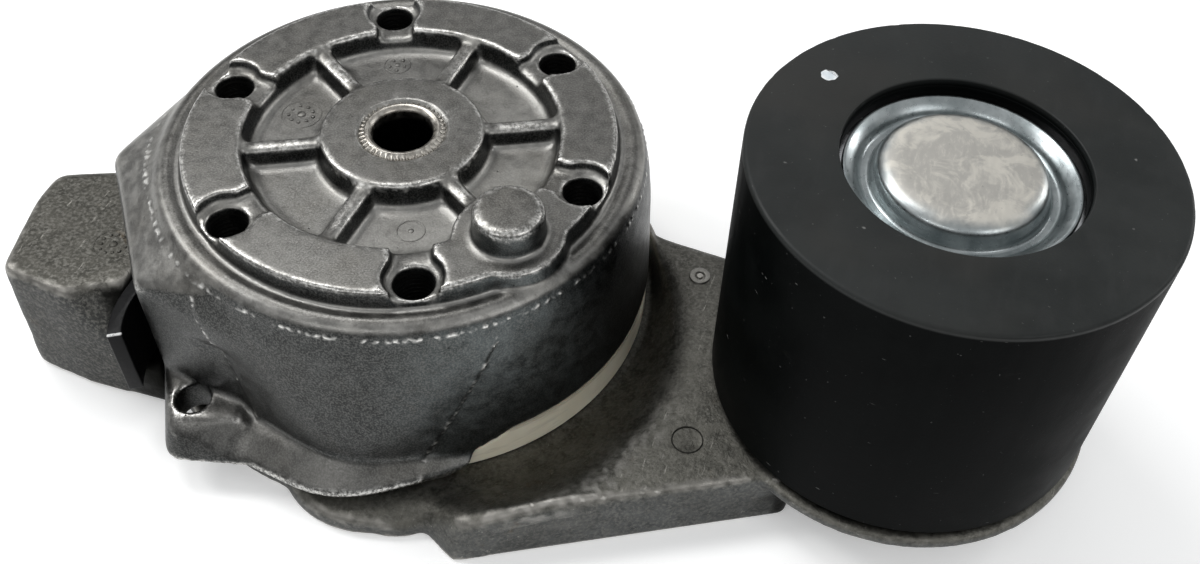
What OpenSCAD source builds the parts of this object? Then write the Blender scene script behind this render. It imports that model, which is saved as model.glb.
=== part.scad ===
// Heavy-duty belt tensioner with a smooth idler pulley.
// Origin: pivot axis, at the mounting face. +Z points out of the mounting face
// and +X points along the arm to the pulley. Units are millimetres.

/* [Pulley] */
// Outer diameter of the pulley
pulley_d = 90; // [80:1:110]
// Width of the pulley
pulley_w = 69.2; // [58:0.2:84]
// Height of the pulley's top face above the mounting face
pulley_top = 27.2; // [20:0.2:34]

/* [Bearings] */
// Outer diameter of each bearing
bearing_d = 47; // [42:1:54]
// Bore of each bearing
bearing_bore = 17; // [15:1:18]
// Width of each bearing
bearing_w = 14; // [13:0.5:15]
// Length of the spacer between the two bearings
spacer_len = 6; // [4:1:8]
// Number of balls in each bearing
ball_count = 8; // [6:1:8]

/* [Arm] */
// Distance from the pivot axis to the pulley axis
arm_reach = 124; // [115:1:150]
// Depth of the arm's beam
arm_depth = 16; // [14:1:20]
// Thickness of the arm's walls
arm_wall = 5; // [4:0.5:6]
// Height of the tail block above the arm's underside
tail_h = 35; // [29:1:36]

/* [Spring case] */
// Radius of the spring case
case_r = 59.6; // [57:0.2:64]
// Height of the spring case
case_h = 52; // [48:1:58]
// Wall thickness of the spring case
case_wall = 5; // [4:0.5:6]
// Radius of the hub boss on the mounting face
hub_r = 19; // [17:0.5:23]
// Depth of the pockets in the mounting face
pocket_depth = 6; // [4:0.5:7]
// Inner radius of the raised mounting ring
ring_in = 36.5; // [34:0.5:38]
// Outer radius of the raised mounting ring
ring_out = 50; // [49:0.5:51]
// Pitch circle diameter of the mounting holes
hole_pcd = 90; // [86:1:92]
// Diameter of the mounting holes
hole_d = 8.8; // [7:0.1:10]
// Diameter of the locating pin
pin_d = 16; // [13:0.5:18]
// Height of the locating pin above the mounting face
pin_h = 7.5; // [5:0.5:10]
// Diameter of the hole in the side lug
lug_hole_d = 8; // [6:0.5:9]

/* [Pivot] */
// Bore of the pivot tube
tube_bore = 14; // [11:0.5:15]
// Wall thickness of the pivot tube
tube_wall = 2.2; // [1.6:0.2:3]
// Wall thickness of the pivot bushes
bush_wall = 2.9; // [2:0.1:3.5]
// Wall thickness of the arm's pivot sleeve
sleeve_wall = 4.8; // [4:0.2:6]

/* [Spring] */
// Thickness of the spring strip
strip_t = 3.3; // [2.4:0.1:4]
// Width of the spring strip
strip_w = 20; // [16:0.5:22]
// Number of turns between the sleeve and the straight end
spring_turns = 4.5; // [3.5:1:5.5]

/* [Hidden] */
$fn = 96;
eps = 0.01;

// Clearances
running_gap = 0.05;
axial_gap = 0.4;
swing_gap = 1.6;
slot_gap = 0.5;

// Heights of the case and arm
rim_z = -case_h;
floor_z = -pocket_depth;
roof_z = floor_z - case_wall;
case_hub_z = roof_z - 3;
ring_flange = 1.2;
hub_top_z = rim_z - ring_flange - axial_gap;
arm_bottom = rim_z - 8;
arm_top = arm_bottom + arm_depth;
tail_top = arm_bottom + tail_h;
cavity_r = case_r - case_wall;

// Pivot stack
tube_r = tube_bore / 2 + tube_wall;
bush_in = tube_r + running_gap;
bush_r = bush_in + bush_wall;
sleeve_r = bush_r + sleeve_wall;
bush_flange = 1.5;
washer_up = 1.2;
sleeve_top = case_hub_z - washer_up - axial_gap - bush_flange;
recess_z = arm_bottom + arm_wall;
retainer_t = 2.2;
retainer_top = recess_z - bush_flange - 0.3;
retainer_r = 19;

// Spring
strip_bottom = hub_top_z + 8.1;
strip_top = strip_bottom + strip_w;
coil_out = cavity_r - 2.5 - strip_t / 2;
coil_in = sleeve_r + 1 + strip_t / 2;
tip_bend = 24;
tip_turn = 30;
tip_start = -case_r + 13.6;
tang_depth = 3;

// Mounting face
pin_angle = -34;
pin_pos = 41.4;
hole_angle = -4.6;
rib_angle = 25.4;
seat_depth = 2.5;

// Pulley stack, from the bearings' common middle
pulley_bottom = pulley_top - pulley_w;
pulley_mid = pulley_top - pulley_w / 2;
upper_z = pulley_mid + spacer_len / 2 + bearing_w / 2;
lower_z = pulley_mid - spacer_len / 2 - bearing_w / 2;
stack_top = upper_z + bearing_w / 2;
stack_bottom = lower_z - bearing_w / 2;
insert_wall = 3;
insert_r = bearing_d / 2 + insert_wall;
insert_top = pulley_top - 4.6;
insert_lip = 2.5;
shield_t = 1;
post_top = stack_bottom - shield_t;
shaft_r = bearing_bore / 2;
race_t = (bearing_d / 2 - shaft_r) * 0.31;
inner_race_r = shaft_r + race_t;
outer_race_r = bearing_d / 2 - race_t;
ball_pitch = (inner_race_r + outer_race_r) / 2;
ball_r = min((outer_race_r - inner_race_r) / 2 + race_t * 0.3, bearing_w * 0.32);
ball_gap = 0.08;
seal_t = 1.2;
cage_h = bearing_w - 2 * (seal_t + 0.6);
bolt_head_h = 8;
bolt_head_r = 12;
washer_t = 2.5;

// Plan of the arm, as points measured from the pivot
disc_r = pulley_d / 2 + 1;
disc_t = 3.5;
beam_corner = [36, -69.5];
beam_front = [arm_reach - 20, -35.2];
beam_back = [arm_reach - 37, 24.5];
beam_heel = [48, 28];
beam_toe = [20, -60];
ring_mark_pos = [arm_reach - 53.1, 16];
ejector_mark_pos = [arm_reach - 43.8, -33.7];
dish_pos = [20, -19];
dish_r = 52.4;
dish_shift = -3.7;
tail_plan = [[-79, -45], [-83.2, -26], [-83.2, -19.4], [-73, -15.2], [-56, -15.2], [-56.5, -41.6],
             [-66, -46.8]];
tail_foot = [[-79.5, -44.5], [-85.5, -19.6], [-74.5, -14.4], [-56, -15.2], [-46, -46], [-67, -46.2]];
corner_r = 4;
tail_draft = 1.5;
lobe_pos = [8.4, -48.6];
lobe_r = 23.2;
lobe_side_pos = [17, -55.5];
lobe_side_r = 15;

// Plan of the case's left side and front
flange_pos = [-5.6, -8.9];
flange_r = case_r - 1.4;
flange_t = 2.5;
side_x = -44;
window_z = rim_z + 7.5;
window_angle = -20;
lug_h = 9.5;
lug_hole_pos = [-32, -58];

// Colours
cast_light = [0.62, 0.62, 0.60];
cast_dark = [0.36, 0.36, 0.34];
steel = [0.70, 0.71, 0.73];
dark_steel = [0.40, 0.41, 0.43];
black = [0.06, 0.06, 0.07];
cream = [0.82, 0.78, 0.68];
bronze = [0.60, 0.48, 0.30];
zinc = [0.72, 0.74, 0.76];

// A tube standing between two heights
module ring(r_in, r_out, z0, z1) {
  translate([0, 0, z0])
    difference() {
      cylinder(r = r_out, h = z1 - z0);
      translate([0, 0, -1]) cylinder(r = r_in, h = z1 - z0 + 2);
    }
}

// An upright round post at a point of the plan
module post_at(p, r, z0, z1, fn = 32) {
  translate([p[0], p[1], z0]) cylinder(r = r, h = z1 - z0, $fn = fn);
}

module at_pulley() {
  translate([arm_reach, 0, 0]) children();
}

module around(count, first) {
  for (i = [0 : count - 1]) rotate([0, 0, first + i * 360 / count]) children();
}

// ---------------------------------------------------------------- case

// Half section of the drum with its hub, mounting ring, valley and shoulder
module drum_section() {
  hump_r = ring_out + 3.3;
  hump_z = -3.8;
  top_r = case_r - 2.6;
  polygon([[0, rim_z], [0, 0], [hub_r - 0.5, 0], [hub_r, -0.5], [hub_r + 0.7, floor_z + 1.2],
           [hub_r + 2, floor_z], [ring_in - 2.2, floor_z], [ring_in - 0.8, floor_z + 1.2],
           [ring_in, -0.5], [ring_in + 0.5, 0], [ring_out - 0.4, 0], [ring_out, -0.4],
           [ring_out + 0.5, hump_z - 0.9], [ring_out + 1.4, hump_z - 1.3],
           [hump_r - 0.9, hump_z - 0.3], [hump_r, hump_z], [hump_r + 1.2, hump_z - 0.1],
           [top_r - 1, hump_z - 0.9], [top_r - 0.2, hump_z - 1.9], [top_r, hump_z - 2.9],
           [top_r + 0.9, hump_z - 7], [top_r + 1.6, hump_z - 14], [case_r, rim_z]]);
}

// The roof that reaches out to the left, over the spring's end
module left_roof() {
  low = tail_top + swing_gap;
  hull() {
    translate([0, 0, -5.9]) cylinder(r = case_r - 4.6, h = 1, $fn = 48);
    for (p = [[-case_r + 0.4, 1], [-case_r - 3.1, -18]])
      translate([p[0], p[1], -14]) {
        sphere(r = corner_r, $fn = 24);
        translate([0, 0, low + 14]) cylinder(r = corner_r, h = -low - 14, $fn = 24);
      }
    post_at([-41.2, -50.6], 2, low, -13.5, 16);
    post_at([-40.5, -49.8], 2, low, -12.3, 16);
    translate([0, 0, low]) cylinder(r = case_r - 1, h = 6, $fn = 64);
  }
}

// Flange at the foot of the case, off centre to the front, with its coved top
module front_flange() {
  intersection() {
    translate([flange_pos[0], flange_pos[1], rim_z]) {
      cylinder(r = flange_r, h = flange_t);
      translate([0, 0, flange_t - eps]) cylinder(r1 = flange_r, r2 = flange_r - 6.2, h = 4.5);
    }
    translate([side_x, -100, rim_z - 1]) cube([200, 100, 50]);
  }
}

// Fin beside the spring's window, faired into the drum above the lug
module side_fin() {
  low = rim_z + lug_h - 1;
  hull() {
    post_at([-41.2, -50.6], 2, low, -14, 16);
    post_at([-25.6, -51.2], 2, -15, -14, 16);
    post_at([-15.6, -54.3], 2, low, low + 1, 16);
    post_at([-36.4, -46.8], 2, low, -14, 16);
    post_at([-38, -40], 2, low, -14, 16);
  }
}

// Window in the rim on the arm's side, with a sloping front end, where the damping ring shows
module rim_window(gap) {
  low = rim_z - 2;
  high = window_z - gap;
  front_low = -45.8 + gap;
  front_high = -26.3 + gap;
  far = case_r + 20;
  rotate([0, 0, window_angle])
    rotate([90, 0, 90])
      translate([0, 0, gap])
        linear_extrude(far)
          polygon([[front_low, low], [front_high, high], [far, high], [far, low]]);
}

// The lug with a hole, low on the left of the front
module lug() {
  lug_top = rim_z + lug_h;
  tip = lug_hole_pos + [0, -3];
  hull() {
    post_at(tip, 3, lug_top - 1, lug_top);
    post_at(tip + [0, -1.2], 4.4, lug_top - 3, lug_top - 2.2);
    post_at(tip + [0.3, -4], 5, rim_z, rim_z + 1);
    post_at([-41.8, -49.5], 2, rim_z, lug_top, 16);
    post_at([-21.6, -58.6], 2, lug_top - 1, lug_top, 16);
    post_at([-18, -62], 5, rim_z, rim_z + 1);
    post_at([-28, -45], 3, rim_z, lug_top, 16);
  }
}

module face_ribs() {
  around(6, rib_angle)
    translate([hub_r - 1, 0, 0])
      rotate([90, 0, 90])
        linear_extrude(ring_in - hub_r + 1.5)
          polygon([[-3.2, floor_z - 1], [3.2, floor_z - 1], [2.6, floor_z + 0.8],
                   [1.9, -1.2], [-1.9, -1.2], [-2.6, floor_z + 0.8]]);
}

module locating_pin() {
  chamfer = 1;
  rotate([0, 0, pin_angle])
    translate([pin_pos, 0, 0]) {
      translate([0, 0, roof_z]) cylinder(r = pin_d / 2 + 4.6, h = -roof_z);
      translate([0, 0, -1]) cylinder(r = pin_d / 2, h = pin_h + 1 - chamfer);
      translate([0, 0, pin_h - chamfer - eps])
        cylinder(r1 = pin_d / 2, r2 = pin_d / 2 - chamfer, h = chamfer + eps);
    }
}

// Lowered seat round each mounting hole, open towards the pocket
module hole_seats() {
  around(6, hole_angle)
    translate([hole_pcd / 2, 0, -seat_depth]) {
      cylinder(r = hole_d / 2 + 2.2, h = 10);
      translate([-hole_pcd / 2 + ring_in - 4, -hole_d / 2, 0])
        cube([hole_pcd / 2 - ring_in + 4, hole_d, 10]);
    }
}

module mounting_holes() {
  around(6, hole_angle)
    translate([hole_pcd / 2, 0, roof_z - 5]) {
      cylinder(d = hole_d, h = 30);
      translate([0, 0, 5 - roof_z - seat_depth - 0.6])
        cylinder(d1 = hole_d, d2 = hole_d + 1.4, h = 0.7);
    }
}

module case_cavity() {
  difference() {
    translate([0, 0, rim_z - 1]) cylinder(r = cavity_r, h = roof_z - rim_z + 1);
    translate([0, 0, case_hub_z]) cylinder(r = hub_r, h = 20);
    around(6, hole_angle)
      translate([hole_pcd / 2, 0, roof_z - 8]) cylinder(r = hole_d / 2 + 3, h = 20);
  }
}

// Window in the case wall that the spring's straight end runs through
module spring_window() {
  z0 = strip_bottom - 1.2;
  z1 = strip_top + 1.2;
  x1 = -coil_out + strip_t / 2 + 4.5;
  translate([-case_r - 20, tip_start - 16, z0])
    cube([case_r + 20 + x1, -tip_start + 2, z1 - z0]);
}

module spring_case() {
  color(cast_light)
    difference() {
      union() {
        difference() {
          union() {
            rotate_extrude() drum_section();
            left_roof();
            front_flange();
            side_fin();
            lug();
          }
          hole_seats();
          face_relief();
          case_cavity();
          spring_window();
        }
        face_ribs();
        difference() {
          locating_pin();
          hole_seats();
        }
      }
      rim_window(0);
      mounting_holes();
      translate([0, 0, case_hub_z - 1]) cylinder(r = tube_r, h = 40);
      ring_groove();
      post_at(lug_hole_pos, lug_hole_d / 2, rim_z - 1, rim_z + lug_h + 1, 64);
    }
}

// Clears the drum's face features from the added roof
module face_relief() {
  rotate_extrude()
    polygon([[hub_r + 2, floor_z], [ring_in - 2.2, floor_z], [ring_in - 0.8, floor_z + 1.2],
             [ring_in, -0.5], [ring_in + 0.5, 0], [ring_in + 0.5, 20], [hub_r - 0.5, 20],
             [hub_r - 0.5, 0], [hub_r, -0.5], [hub_r + 0.7, floor_z + 1.2]]);
}

// Shallow groove round the pivot tube where it is staked
module ring_groove() {
  ring(tube_r - 0.5, tube_r + 1.3, -0.8, 1);
}

// ---------------------------------------------------------------- pivot

module pivot_tube() {
  flare = 0.7;
  bottom = retainer_top - retainer_t;
  color(steel) {
    difference() {
      union() {
        translate([0, 0, bottom]) cylinder(r = tube_r, h = 0.3 - bottom);
        translate([0, 0, bottom - flare]) cylinder(r = tube_r + 1.8, h = flare);
      }
      translate([0, 0, bottom - flare - 1]) cylinder(d = tube_bore, h = case_h * 2);
    }
  }
}

// Points of the strip's middle line: the tang, the coils, then the straight end and its bend
function coil_angle(t) = 180 - 360 * spring_turns * (1 - t);
function coil_r(t) = coil_in + (coil_out - coil_in) * t;
function coil_point(t, side) =
  (coil_r(t) + side) * [cos(coil_angle(t)), sin(coil_angle(t))];
function tip_point(a, side) =
  [-coil_out + tip_bend - (tip_bend + side) * cos(a), tip_start - (tip_bend + side) * sin(a)];
function strip_edge(side) = concat(
  [for (i = [0 : 160]) coil_point(i / 160, side)],
  [for (a = [0 : 6 : tip_turn]) tip_point(a, side)]
);
function reversed(list) = [for (i = [len(list) - 1 : -1 : 0]) list[i]];

module flat_spring() {
  start = coil_angle(0);
  color(black)
    translate([0, 0, strip_bottom])
      linear_extrude(strip_w) {
        polygon(concat(strip_edge(strip_t / 2), reversed(strip_edge(-strip_t / 2))));
        rotate(start)
          translate([sleeve_r - tang_depth + slot_gap, -strip_t / 2])
            square([coil_in - sleeve_r + tang_depth - slot_gap, strip_t]);
      }
}

module damping_ring() {
  inner = cavity_r - 2.2;
  outer = case_r - 0.6;
  gap = 0.3;
  color(cream) {
    ring(inner, cavity_r, rim_z - ring_flange, rim_z + 5);
    ring(inner, outer, rim_z - ring_flange, rim_z);
    intersection() {
      ring(cavity_r - 1, outer, rim_z - 1, window_z - gap);
      rim_window(gap);
    }
  }
}

module upper_thrust_washer() {
  color(bronze) ring(tube_r, sleeve_r - 0.4, case_hub_z - washer_up, case_hub_z);
}

module retaining_washer() {
  color(steel) ring(tube_r, retainer_r, retainer_top - retainer_t, retainer_top);
}

// ---------------------------------------------------------------- arm

// Half section of the arm's hub: sleeve, floor, spigot and outer flange
module hub_section() {
  spigot_r = cavity_r - 2.2 - running_gap;
  spigot_top = rim_z + 4.5;
  hub_floor = rim_z + 2;
  polygon([[bush_r, arm_bottom], [bush_r, sleeve_top], [sleeve_r, sleeve_top],
           [sleeve_r, hub_floor + 2], [sleeve_r + 2, hub_floor], [spigot_r - 6, hub_floor],
           [spigot_r - 6, spigot_top], [spigot_r, spigot_top], [spigot_r, hub_top_z],
           [case_r + 6, hub_top_z], [case_r + 6, arm_bottom]]);
}

module beam() {
  difference() {
    hull() {
      post_at(beam_corner, 2, arm_bottom, arm_bottom + 1, 16);
      post_at(beam_corner + [3, 3], 2, arm_top - 4, arm_top - 3, 16);
      post_at(beam_front, 2, arm_bottom, arm_bottom + 1, 16);
      post_at(beam_front + [0, 1.5], 2, arm_top - 1, arm_top, 16);
      post_at(beam_corner + [19, 12.5], 2, arm_top - 1, arm_top, 16);
      post_at(beam_back, 2, arm_bottom, arm_top, 16);
      post_at(beam_heel, 2, arm_bottom, arm_top, 16);
      post_at(beam_toe, 2, arm_bottom, arm_bottom + 5, 16);
    }
    dish();
  }
}

// Hollow round the case's rim, sloping up to the beam's flat top
module dish() {
  inner = case_r + 3.2;
  translate([0, dish_shift, hub_top_z]) cylinder(r = inner, h = 60);
  hull() {
    translate([0, dish_shift, hub_top_z]) cylinder(r = inner - 0.2, h = eps, $fn = 64);
    translate([dish_pos[0], dish_pos[1], arm_top + eps]) cylinder(r = dish_r, h = 5, $fn = 64);
  }
}

// Tail block outside the spring case
module tail() {
  difference() {
    hull() {
      for (p = tail_plan) {
        post_at(p, corner_r, tail_top - 3, tail_top - 1);
        post_at(p, corner_r - 1, tail_top - 1, tail_top);
      }
      for (p = tail_foot) post_at(p, corner_r + tail_draft, arm_bottom, arm_bottom + 1);
    }
    // room for the case, its lug and the spring's straight end
    translate([0, 0, hub_top_z]) cylinder(r = case_r + swing_gap, h = 100);
    translate([-coil_out - strip_t / 2 - slot_gap, -90, strip_bottom - 2.4])
      cube([60, 88, 100]);
    translate([side_x - 2.5, -90, hub_top_z]) cube([60, 88, 100]);
    // hollow from below
    hull() {
      for (p = [[-79, -44], [-82, -21], [-74, -17], [-66, -18], [-62, -40]])
        post_at(p, corner_r - arm_wall + 3, arm_bottom - 1, tail_top - arm_wall - 1, 16);
    }
  }
}

module pulley_boss() {
  at_pulley() {
    translate([0, 0, arm_top - disc_t]) cylinder(r = disc_r, h = disc_t);
    translate([0, 0, arm_bottom]) cylinder(r = 20, h = arm_depth);
    translate([0, 0, arm_top - eps])
      cylinder(r1 = 20, r2 = 16.5, h = 4);
    translate([0, 0, arm_top - eps]) cylinder(r = 15, h = post_top - arm_top + eps);
  }
}

// Pockets in the underside that leave the arm's walls and ribs
module underside_pockets() {
  // between the hub and the pulley boss, either side of a middle rib
  for (side = [-1, 1])
    intersection() {
      translate([0, 0, arm_bottom - 1])
        linear_extrude(arm_depth - arm_wall + 1)
          polygon([[case_r + 26, side * 2.5], [arm_reach - 10, side * 2.5],
                   [arm_reach - 10, side * 16], [arm_reach - 30, side * 21],
                   [case_r + 26, side * 21]]);
      difference() {
        cylinder(r = 400, h = 400, center = true);
        at_pulley() cylinder(r = 24, h = 400, center = true);
      }
    }
  // ring of pockets under the hub
  difference() {
    ring(retainer_r + 11, case_r, arm_bottom - 1, recess_z - 0.6);
    around(8, 22.5) translate([0, -2, -200]) cube([100, 4, 400]);
  }
  translate([0, 0, arm_bottom - 1]) cylinder(r = retainer_r + 5, h = recess_z - arm_bottom + 1);
}

// Raised ring near the arm's back edge
module ring_mark() {
  difference() {
    post_at(ring_mark_pos, 2.8, arm_top - 1, arm_top + 0.4);
    post_at(ring_mark_pos, 1.3, arm_top - 0.2, arm_top + 1);
  }
}

module tensioner_arm() {
  color(cast_dark)
    difference() {
      union() {
        rotate_extrude() hub_section();
        beam();
        tail();
        pulley_boss();
        post_at(lobe_pos, lobe_r, arm_bottom, hub_top_z - 0.6, 64);
        post_at(lobe_side_pos, lobe_side_r, arm_bottom, hub_top_z - 0.6, 64);
        ring_mark();
      }
      underside_pockets();
      post_at(ejector_mark_pos, 3.5, arm_top - 0.4, arm_top + 1);
      translate([0, 0, arm_bottom - 1]) cylinder(r = bush_r, h = arm_depth * 4);
      // slot for the spring's tang
      rotate([0, 0, coil_angle(0)])
        translate([sleeve_r - tang_depth, -strip_t / 2 - slot_gap, strip_bottom - 3])
          cube([10, strip_t + 2 * slot_gap, 80]);
      // threaded hole for the pulley bolt
      at_pulley() translate([0, 0, arm_bottom - 1]) cylinder(r = shaft_r - 0.5, h = 200);
      at_pulley() translate([0, 0, arm_bottom - 1]) cylinder(r = shaft_r + 1, h = 3);
    }
}

module upper_pivot_bush() {
  color(bronze) {
    ring(bush_in, bush_r, sleeve_top - 16, sleeve_top + eps);
    ring(bush_in, sleeve_r - 0.4, sleeve_top, sleeve_top + bush_flange);
  }
}

module lower_pivot_bush() {
  color(bronze) {
    ring(bush_in, bush_r, recess_z - eps, recess_z + 16);
    ring(bush_in, sleeve_r - 0.4, recess_z - bush_flange, recess_z);
  }
}

// ---------------------------------------------------------------- pulley

module race_cut(z) {
  translate([0, 0, z]) rotate_extrude() translate([ball_pitch, 0]) circle(r = ball_r + ball_gap);
}

module inner_ring(z) {
  color(steel)
    at_pulley()
      difference() {
        ring(shaft_r, inner_race_r, z - bearing_w / 2, z + bearing_w / 2);
        race_cut(z);
      }
}

module outer_ring(z) {
  color(steel)
    at_pulley()
      difference() {
        ring(outer_race_r, bearing_d / 2, z - bearing_w / 2, z + bearing_w / 2);
        race_cut(z);
      }
}

module balls(z) {
  color(dark_steel)
    at_pulley()
      around(ball_count, 0) translate([ball_pitch, 0, z]) sphere(r = ball_r, $fn = 48);
}

// Drilled ring that keeps the balls apart
module cage(z) {
  color(bronze)
    at_pulley()
      difference() {
        ring(ball_pitch - 1.1, ball_pitch + 1.1, z - cage_h / 2, z + cage_h / 2);
        around(ball_count, 0)
          translate([ball_pitch - 4, 0, z]) rotate([0, 90, 0]) cylinder(r = ball_r + 0.05, h = 8);
      }
}

module seals(z) {
  color(black)
    at_pulley()
      for (side = [-1, 1])
        translate([0, 0, z + side * (bearing_w / 2 - 0.3 - seal_t / 2)])
          ring(inner_race_r + 0.4, outer_race_r, -seal_t / 2, seal_t / 2);
}

module upper_inner_ring() { inner_ring(upper_z); }
module lower_inner_ring() { inner_ring(lower_z); }
module upper_outer_ring() { outer_ring(upper_z); }
module lower_outer_ring() { outer_ring(lower_z); }
module upper_balls() { balls(upper_z); }
module lower_balls() { balls(lower_z); }
module upper_cage() { cage(upper_z); }
module lower_cage() { cage(lower_z); }
module upper_seals() { seals(upper_z); }
module lower_seals() { seals(lower_z); }

module bearing_spacer() {
  color(steel)
    at_pulley()
      ring(shaft_r, inner_race_r - 0.5, lower_z + bearing_w / 2, upper_z - bearing_w / 2);
}

module dust_shield() {
  color(steel) at_pulley() ring(shaft_r, bearing_d / 2 - insert_lip - 0.5, post_top, stack_bottom);
}

module bolt_washer() {
  color(steel) at_pulley() ring(shaft_r, bolt_head_r + 1.5, stack_top, stack_top + washer_t);
}

module pulley_bolt() {
  head_z = stack_top + washer_t;
  color(dark_steel)
    at_pulley() {
      translate([0, 0, arm_bottom + 3]) cylinder(r = shaft_r - 0.5, h = post_top - arm_bottom);
      translate([0, 0, post_top]) cylinder(r = shaft_r, h = head_z - post_top + eps);
      translate([0, 0, head_z]) cylinder(r = bolt_head_r, h = bolt_head_h, $fn = 6);
    }
}

module hub_insert() {
  bearing_r = bearing_d / 2;
  groove_z = stack_top + 0.1;
  color(steel)
    at_pulley()
      difference() {
        translate([0, 0, stack_bottom - 3]) cylinder(r = insert_r, h = insert_top - stack_bottom + 3);
        translate([0, 0, stack_bottom]) cylinder(r = bearing_r, h = 200);
        translate([0, 0, -200]) cylinder(r = bearing_r - insert_lip, h = 400);
        translate([0, 0, groove_z]) cylinder(r = bearing_r + 1.4, h = 2);
      }
}

module retaining_ring() {
  groove_z = stack_top + 0.1;
  color(dark_steel)
    at_pulley()
      difference() {
        ring(bearing_d / 2 - 2.4, bearing_d / 2 + 1.3, groove_z + 0.1, groove_z + 1.8);
        translate([0, -4, groove_z - 1]) cube([60, 8, 5]);
      }
}

module pulley_shell() {
  edge = 1.2;
  recess_r = insert_r + 6;
  recess_top = stack_bottom - 5;
  lip_r = insert_r - 1;
  color(black)
    at_pulley()
      rotate_extrude()
        polygon([[insert_r, recess_top], [recess_r - 3, recess_top], [recess_r, recess_top - 3],
                 [recess_r + 1, pulley_bottom], [pulley_d / 2 - edge, pulley_bottom],
                 [pulley_d / 2, pulley_bottom + edge], [pulley_d / 2, pulley_top - edge],
                 [pulley_d / 2 - edge, pulley_top], [lip_r + 0.3, pulley_top],
                 [lip_r, pulley_top - 0.3], [lip_r, insert_top], [insert_r, insert_top]]);
}

// Pressed steel cap: rim on the insert, groove, then a raised dome
module dust_cap() {
  t = 1.2;
  rim_r = insert_r - 2;
  bore_r = bearing_d / 2 - 0.02;
  dome_r = 16.6;
  foot_r = dome_r + 1.9;
  dome_z = pulley_top - 1.2;
  groove_z = insert_top - 2;
  skirt_z = insert_top - 4;
  color(zinc)
    at_pulley()
      rotate_extrude()
        polygon([[0, dome_z - t], [dome_r - 1, dome_z - t], [dome_r, dome_z - 2],
                 [foot_r - t, groove_z - t], [bore_r - t, groove_z - t], [bore_r - t, skirt_z],
                 [bore_r, skirt_z], [bore_r, insert_top], [rim_r, insert_top],
                 [rim_r, insert_top + t], [rim_r - 1.6, insert_top + t - 0.3],
                 [bore_r - 2.3, groove_z + 1.2], [bore_r - 3.2, groove_z], [foot_r, groove_z],
                 [dome_r + 1.3, dome_z - 2], [dome_r + 0.8, dome_z - 0.8],
                 [dome_r - 0.3, dome_z - 0.1], [dome_r - 1.6, dome_z], [0, dome_z]]);
}

spring_case();
pivot_tube();
flat_spring();
damping_ring();
upper_thrust_washer();
retaining_washer();
tensioner_arm();
upper_pivot_bush();
lower_pivot_bush();
bearing_spacer();
upper_inner_ring();
lower_inner_ring();
pulley_bolt();
bolt_washer();
dust_shield();
upper_balls();
lower_balls();
upper_cage();
lower_cage();
pulley_shell();
hub_insert();
upper_outer_ring();
lower_outer_ring();
upper_seals();
lower_seals();
retaining_ring();
dust_cap();
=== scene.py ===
import math

import bmesh
import bpy
import numpy as np
from mathutils import Matrix, Vector


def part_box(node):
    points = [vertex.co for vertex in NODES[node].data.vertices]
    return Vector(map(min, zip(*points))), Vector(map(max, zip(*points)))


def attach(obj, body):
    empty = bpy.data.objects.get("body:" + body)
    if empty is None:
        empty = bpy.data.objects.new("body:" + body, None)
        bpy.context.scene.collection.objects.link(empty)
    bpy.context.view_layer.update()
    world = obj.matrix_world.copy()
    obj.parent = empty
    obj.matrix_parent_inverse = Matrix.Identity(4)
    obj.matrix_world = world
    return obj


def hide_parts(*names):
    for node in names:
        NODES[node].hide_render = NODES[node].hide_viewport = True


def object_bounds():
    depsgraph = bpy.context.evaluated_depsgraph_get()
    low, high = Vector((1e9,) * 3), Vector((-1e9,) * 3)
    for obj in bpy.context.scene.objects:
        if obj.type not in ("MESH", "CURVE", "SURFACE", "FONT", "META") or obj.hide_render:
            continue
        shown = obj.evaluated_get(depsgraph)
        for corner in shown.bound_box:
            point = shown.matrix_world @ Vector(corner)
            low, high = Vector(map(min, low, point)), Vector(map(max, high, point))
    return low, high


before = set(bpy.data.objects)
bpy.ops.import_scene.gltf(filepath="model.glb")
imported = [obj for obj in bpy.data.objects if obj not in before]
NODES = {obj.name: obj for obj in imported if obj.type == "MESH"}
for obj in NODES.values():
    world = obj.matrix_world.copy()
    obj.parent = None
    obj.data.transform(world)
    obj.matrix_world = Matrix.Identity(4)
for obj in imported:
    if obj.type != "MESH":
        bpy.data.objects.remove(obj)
CAD_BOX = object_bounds()
MM = 0.001
SCENE = bpy.context.scene

PULLEY_X = 124.0
PULLEY = (PULLEY_X, 0.0)
HOLE_R, HOLE_PCR, HOLE_ANGLE = 4.4, 45.0, -4.6
LUG_HOLE = (-32.0, -58.0)
POCKET_Z = -6.0
ARM_TOP = -44.0
SPRING_END = 26.6
DRUM_R = 59.0
# edges of the case's top face: outside and inside of the mounting ring, and outside of the hub
RING_OUTSIDE, RING_INSIDE, HUB_OUTSIDE = 50.2, 36.9, 19.2
# seams down the drum's wall: azimuth and height of the upper end, then of the lower end
SEAM_RIGHT = (-48, -10.5, -67, -47.5)
SEAM_LEFT = (-117, -9.5, -106, -44.5)
SHOULDER_Z = -6.9
# the arm's dish round the drum: centre and radius
DISH, DISH_R = (20.0, -19.0), 53.5
# the arm's long front edge: a point of it, and its outward direction
EDGE_POINT, EDGE_OUT = (55.8, -58.4), (0.4024, -0.9155)
RING_MARK = (70.9, 16.0)
EJECTOR = (80.2, -33.7)
TAIL_MARK = (-61.4, -34.0, -25.05)
PAINT_POS, PAINT_R = (92.8, 17.6), 2.15
MOST_TRIANGLES = 190_000
CHIP_STEPS = 180
X, Y, Z = 0, 1, 2


# ------------------------------------------------------------------ node helpers


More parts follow.
